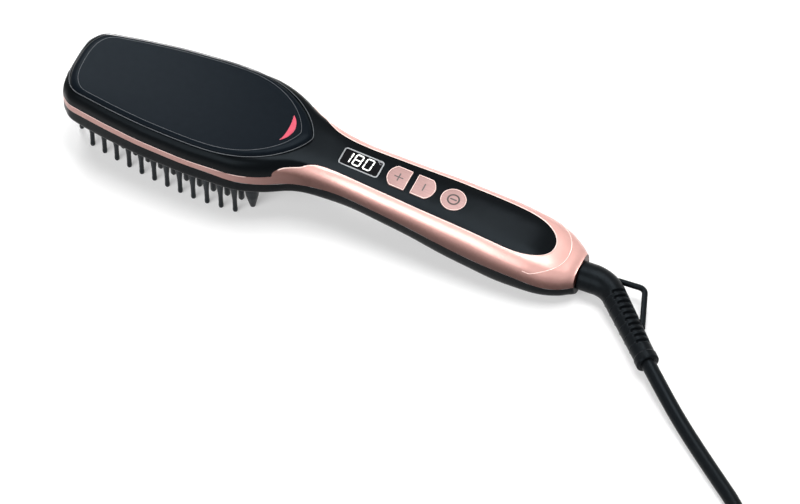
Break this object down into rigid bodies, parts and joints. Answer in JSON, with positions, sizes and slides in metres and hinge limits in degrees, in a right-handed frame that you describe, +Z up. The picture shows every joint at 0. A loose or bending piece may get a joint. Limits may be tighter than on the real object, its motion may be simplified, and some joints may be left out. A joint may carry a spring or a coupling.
{
  "type": "heated hair straightening brush",
  "caption": "Corded paddle brush with heated pins under a flat head, a round-edged handle with a small display and three push keys, and a swivelling cord outlet.",
  "frame": {"origin": "centre of the brush's bounding box seen from above, at the plane of the bristle tips and the handle's heel", "axes": "+X from the head to the handle's end, +Y to the left of someone looking along +X, +Z up, away from the surface the brush rests on"},
  "size_m": [0.4025, 0.2521, 0.0463],
  "materials": {
    "black_cover": "satin slate black",
    "indicator": "translucent pink-red",
    "circuit_board": "solder-masked laminate",
    "black_shell": "satin black",
    "rose_trim": "metallic rose-gold lacquer on plastic",
    "black_pad": "matte",
    "black_bristle": "matte nylon",
    "heated_metal": "dark ceramic coating",
    "cool_tip": "matte",
    "ceramic": "unglazed ceramic",
    "film": "polyimide film",
    "spring_steel": "rolled",
    "sensor_glass": "glass bead",
    "fuse_metal": "drawn",
    "screw_steel": "zinc plated",
    "wire": "silicone insulation",
    "component": "moulded",
    "display_body": "white moulding",
    "display_glass": "black window",
    "display_rim": "light grey",
    "rose_key": "brushed rose gold",
    "inner_plastic": "natural",
    "contact_brass": "bright",
    "cord_black": "satin rubber",
    "tie": "woven strap",
    "prong": "nickel plated"
  },
  "bodies": {
    "brush": {"head_cover": "black_cover", "indicator_lens": "indicator", "indicator_board": "circuit_board", "control_board": "circuit_board", "top_shell": "black_shell", "bottom_shell": "black_shell", "trim_frame": "rose_trim", "bristle_pad": "black_pad", "outer_bristles": "black_bristle", "rest_pegs": "black_bristle", "heating_plate": "heated_metal", "heated_pins": "heated_metal", "pin_caps": "cool_tip", "heater_elements": "ceramic", "insulation_sheet": "film", "heater_clamp": "spring_steel", "thermistor": "sensor_glass", "thermal_fuse": "fuse_metal", "pad_screws": "screw_steel", "board_screws": "screw_steel", "shell_screws": "screw_steel", "heater_wires": "wire", "supply_wires": "wire", "power_components": "component", "tact_switches": "component", "display_module": "display_body", "display_lens": "display_glass", "display_frame": "display_rim", "contact_holder": "inner_plastic", "contact_springs": "contact_brass", "cord_tube": "cord_black", "cord_coil": "cord_black", "cord_tail": "cord_black", "plug_body": "cord_black", "cord_tie": "tie", "plug_pins": "prong"},
    "plus_key": {"plus_key": "rose_key"},
    "minus_key": {"minus_key": "rose_key"},
    "power_key": {"power_key": "rose_key"},
    "cord_swivel": {"strain_relief": "cord_black", "hanging_loop": "cord_black", "slip_rings": "contact_brass", "retaining_ring": "spring_steel"}
  },
  "joints": [
    {"name": "plus_press", "type": "slide", "parent": "brush", "child": "plus_key", "axis": [-0.1028, 0, -0.9947], "range_m": [0, 0.0006], "stiffness_N_per_m": 2500, "springref_m": -0.0004},
    {"name": "minus_press", "type": "slide", "parent": "brush", "child": "minus_key", "axis": [-0.1028, 0, -0.9947], "range_m": [0, 0.0006], "stiffness_N_per_m": 2500, "springref_m": -0.0004},
    {"name": "power_press", "type": "slide", "parent": "brush", "child": "power_key", "axis": [-0.1028, 0, -0.9947], "range_m": [0, 0.0006], "stiffness_N_per_m": 2500, "springref_m": -0.0004},
    {"name": "cord_turn", "type": "hinge", "parent": "brush", "child": "cord_swivel", "pos_m": [0.1332, 0, 0.0095], "axis": [1, 0, 0], "continuous": true}
  ]
}
